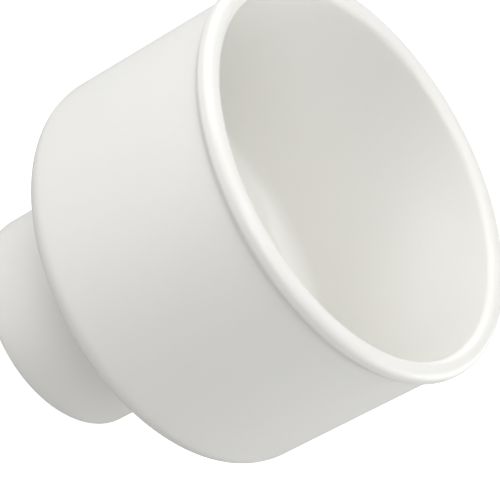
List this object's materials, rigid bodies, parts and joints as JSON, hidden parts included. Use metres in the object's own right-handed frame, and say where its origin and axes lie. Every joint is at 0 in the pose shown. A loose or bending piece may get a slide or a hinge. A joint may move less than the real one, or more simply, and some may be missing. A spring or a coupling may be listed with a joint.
{
  "type": "eccentric reducer",
  "caption": "Eccentric pipe reducer with a large beaded socket, a rounded shoulder and an offset push-fit small end.",
  "frame": {"origin": "on the large socket's axis, in the plane of the small end's face, which the part stands on", "axes": "+Z along the large socket's axis, out of its mouth; the small end is offset towards -Y; +X completes the frame"},
  "size_m": [0.1224, 0.1224, 0.1033],
  "materials": {
    "white_moulding": "smooth satin-gloss white moulded plastic",
    "black_rubber": "matt black rubber",
    "grey_plastic": "matt grey moulded plastic"
  },
  "bodies": {
    "root": {"reducer_body": "white_moulding", "lip_seal": "black_rubber", "seal_retaining_ring": "grey_plastic"}
  },
  "joints": []
}
